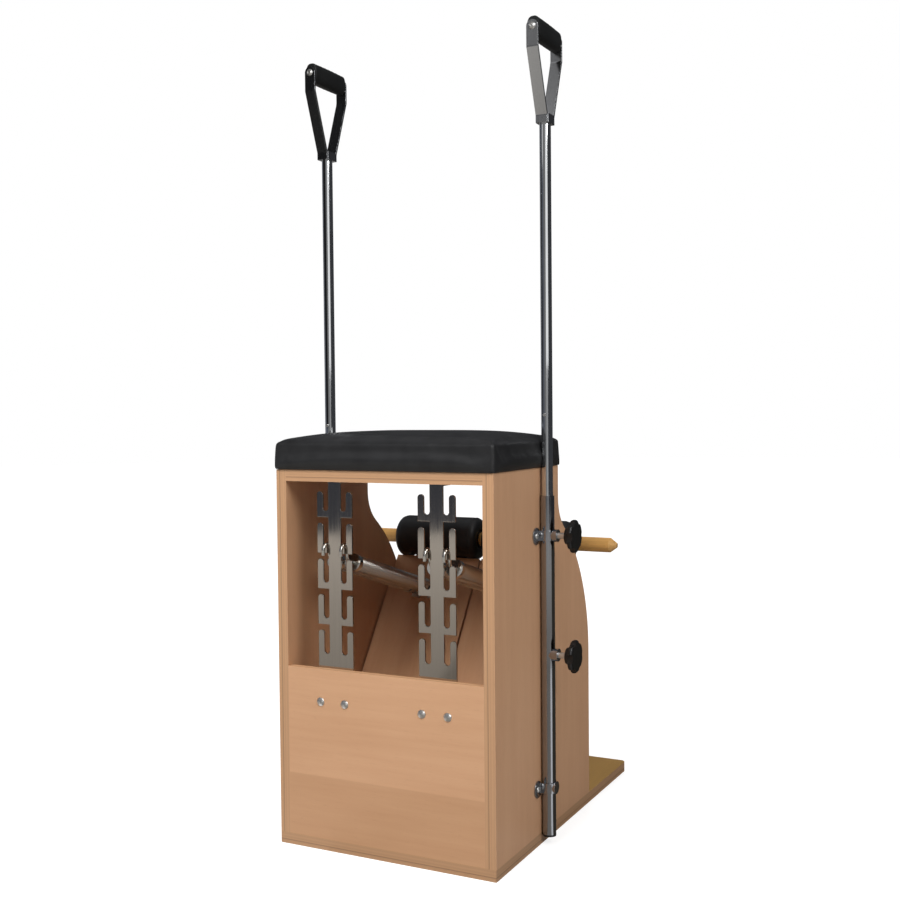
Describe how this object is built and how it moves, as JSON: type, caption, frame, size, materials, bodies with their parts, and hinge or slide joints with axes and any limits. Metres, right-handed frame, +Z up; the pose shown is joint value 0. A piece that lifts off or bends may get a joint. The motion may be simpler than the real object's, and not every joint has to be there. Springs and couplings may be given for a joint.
{
  "type": "pilates chair",
  "caption": "Plywood exercise chair with a padded seat, a slotted spring rack, linked spring-loaded foot pedals with padded rollers, and height-adjustable handle poles",
  "frame": {"origin": "floor level, at the middle of the whole outline (bottom centre of the bounding box)", "axes": "+Z up, +Y from the open spring-rack side towards the pedals, +X to the right when seen from the spring-rack side"},
  "size_m": [0.5006, 0.598, 1.291],
  "materials": {
    "plywood": "clear satin lacquer over birch plywood",
    "hardwood": "turned and lightly oiled",
    "black_vinyl": "black upholstery vinyl with a soft sheen",
    "polished_steel": "cut and polished sheet",
    "bright_fasteners": "bright zinc plate",
    "spring_steel": "bright nickel plate",
    "chrome_tube": "bright chrome plate",
    "dark_steel": "dark plated flat bar",
    "grip_rubber": "smooth moulded rubber",
    "black_plastic": "moulded, satin",
    "painted_steel": "black powder coat",
    "axle_steel": "ground bar",
    "stop_rubber": "moulded rubber"
  },
  "bodies": {
    "frame": {"base_board": "plywood", "left_side_panel": "plywood", "right_side_panel": "plywood", "top_board": "plywood", "back_panel": "plywood", "panel_dowels": "hardwood", "wood_screws": "bright_fasteners", "seat_board": "plywood", "seat_cushion": "black_vinyl", "left_hook_plate": "polished_steel", "right_hook_plate": "polished_steel", "hook_plate_bolts": "bright_fasteners", "pedal_axle": "axle_steel", "bearing_flanges": "painted_steel", "stop_rail": "plywood", "rubber_pads": "stop_rubber", "left_socket_tube": "chrome_tube", "right_socket_tube": "chrome_tube", "tube_plugs": "black_plastic", "tube_clamps": "chrome_tube"},
    "link_dowel": {"link_dowel": "hardwood"},
    "spring_hooks": {"spring_hooks": "spring_steel", "left_inner_spring": "spring_steel", "right_inner_spring": "spring_steel", "left_outer_spring": "spring_steel", "right_outer_spring": "spring_steel"},
    "spring_ends": {"spring_ends": "spring_steel"},
    "left_pedal": {"left_pedal_board": "plywood", "left_pedal_hinge": "painted_steel", "left_pedal_screws": "bright_fasteners", "left_roller_core": "painted_steel", "left_roller_pad": "black_vinyl", "left_spring_anchors": "painted_steel"},
    "left_spring_tails": {"left_spring_tails": "spring_steel"},
    "left_pole": {"left_pole": "chrome_tube", "left_handle_socket": "dark_steel", "left_handle_straps": "dark_steel", "left_handle_screws": "bright_fasteners", "left_handle_grip": "grip_rubber"},
    "left_upper_knob": {"left_upper_knob": "black_plastic", "left_upper_knob_stud": "chrome_tube"},
    "left_lower_knob": {"left_lower_knob": "black_plastic", "left_lower_knob_stud": "chrome_tube"},
    "right_pedal": {"right_pedal_board": "plywood", "right_pedal_hinge": "painted_steel", "right_pedal_screws": "bright_fasteners", "right_roller_core": "painted_steel", "right_roller_pad": "black_vinyl", "right_spring_anchors": "painted_steel"},
    "right_spring_tails": {"right_spring_tails": "spring_steel"},
    "right_pole": {"right_pole": "chrome_tube", "right_handle_socket": "dark_steel", "right_handle_straps": "dark_steel", "right_handle_screws": "bright_fasteners", "right_handle_grip": "grip_rubber"},
    "right_upper_knob": {"right_upper_knob": "black_plastic", "right_upper_knob_stud": "chrome_tube"},
    "right_lower_knob": {"right_lower_knob": "black_plastic", "right_lower_knob_stud": "chrome_tube"}
  },
  "joints": [
    {"name": "left_pedal_press", "type": "hinge", "parent": "frame", "child": "left_pedal", "pos_m": [0, -0.223, 0.1], "axis": [-1, 0, 0], "range_deg": [0, 55], "stiffness_Nm_per_rad": 45, "springref_deg": -28.65, "deforming": ["left_inner_spring", "left_outer_spring"]},
    {"name": "right_pedal_press", "type": "hinge", "parent": "frame", "child": "right_pedal", "pos_m": [0, -0.223, 0.1], "axis": [-1, 0, 0], "range_deg": [0, 55], "stiffness_Nm_per_rad": 45, "springref_deg": -28.65, "deforming": ["right_inner_spring", "right_outer_spring"]},
    {"name": "link_dowel_slide", "type": "slide", "parent": "right_pedal", "child": "link_dowel", "axis": [1, 0, 0], "range_m": [0, 0.25]},
    {"name": "spring_hook_swing", "type": "hinge", "parent": "frame", "child": "spring_hooks", "pos_m": [0, -0.2815, 0.47408], "axis": [-1, 0, 0], "range_deg": [0, 27.04]},
    {"name": "spring_stretch", "type": "slide", "parent": "spring_hooks", "child": "spring_ends", "axis": [0, 0.9596, -0.2815], "range_m": [0, 0.2762]},
    {"name": "left_spring_tail_swing", "type": "hinge", "parent": "left_pedal", "child": "left_spring_tails", "pos_m": [0, 0.00759, 0.37571], "axis": [1, 0, 0], "range_deg": [0, 28.96]},
    {"name": "right_spring_tail_swing", "type": "hinge", "parent": "right_pedal", "child": "right_spring_tails", "pos_m": [0, 0.00759, 0.37571], "axis": [1, 0, 0], "range_deg": [0, 28.96]},
    {"name": "left_pole_slide", "type": "slide", "parent": "frame", "child": "left_pole", "axis": [0, 0, 1], "range_m": [-0.108, 0.08]},
    {"name": "right_pole_slide", "type": "slide", "parent": "frame", "child": "right_pole", "axis": [0, 0, 1], "range_m": [-0.124, 0.064]},
    {"name": "left_upper_knob_turn", "type": "hinge", "parent": "frame", "child": "left_upper_knob", "pos_m": [-0.2333, -0.117, 0.493], "axis": [-1, 0, 0], "continuous": true},
    {"name": "left_lower_knob_turn", "type": "hinge", "parent": "frame", "child": "left_lower_knob", "pos_m": [-0.2333, -0.117, 0.304], "axis": [-1, 0, 0], "continuous": true},
    {"name": "right_upper_knob_turn", "type": "hinge", "parent": "frame", "child": "right_upper_knob", "pos_m": [0.2333, -0.117, 0.493], "axis": [1, 0, 0], "continuous": true},
    {"name": "right_lower_knob_turn", "type": "hinge", "parent": "frame", "child": "right_lower_knob", "pos_m": [0.2333, -0.117, 0.304], "axis": [1, 0, 0], "continuous": true}
  ],
  "couplings": [
    {"joint": "right_pedal_press", "follows": "left_pedal_press", "ratio": 1},
    {"joint": "spring_hook_swing", "follows": "left_pedal_press", "ratio": 0.4826},
    {"joint": "spring_stretch", "follows": "left_pedal_press", "m_per_rad": 0.28717},
    {"joint": "left_spring_tail_swing", "follows": "left_pedal_press", "ratio": 0.5174},
    {"joint": "right_spring_tail_swing", "follows": "left_pedal_press", "ratio": 0.5174}
  ]
}
